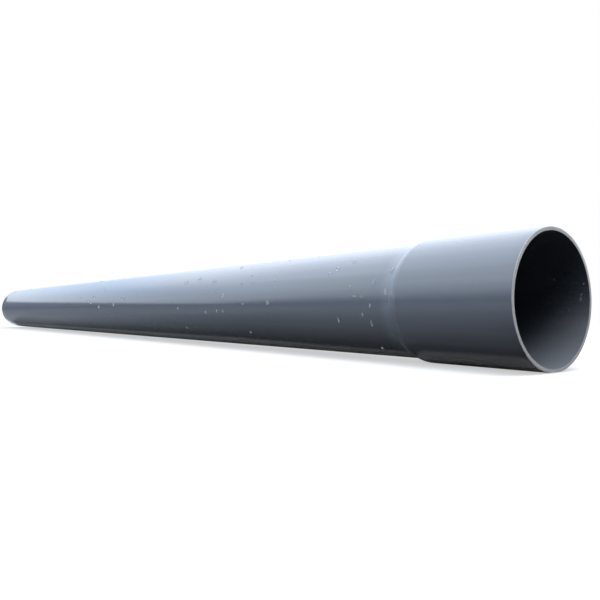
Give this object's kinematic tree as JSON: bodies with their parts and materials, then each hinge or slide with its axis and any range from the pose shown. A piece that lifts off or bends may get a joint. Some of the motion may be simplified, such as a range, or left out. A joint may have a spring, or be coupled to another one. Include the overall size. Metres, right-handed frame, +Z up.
{
  "type": "sewer pipe",
  "caption": "Straight grey PVC sewer pipe with a chamfered plain spigot at one end and a belled socket at the other that takes the next length's spigot.",
  "frame": {"origin": "on the floor under the middle of the pipe's length, straight below its axis", "axes": "+X along the pipe towards the socket's mouth, +Z up, +Y to the left when looking along +X"},
  "size_m": [2, 0.1324, 0.1328],
  "materials": {
    "grey_pvc": "smooth extruded blue-grey PVC, glossy, with paler sawn ends"
  },
  "bodies": {
    "root": {"pipe": "grey_pvc"}
  },
  "joints": []
}
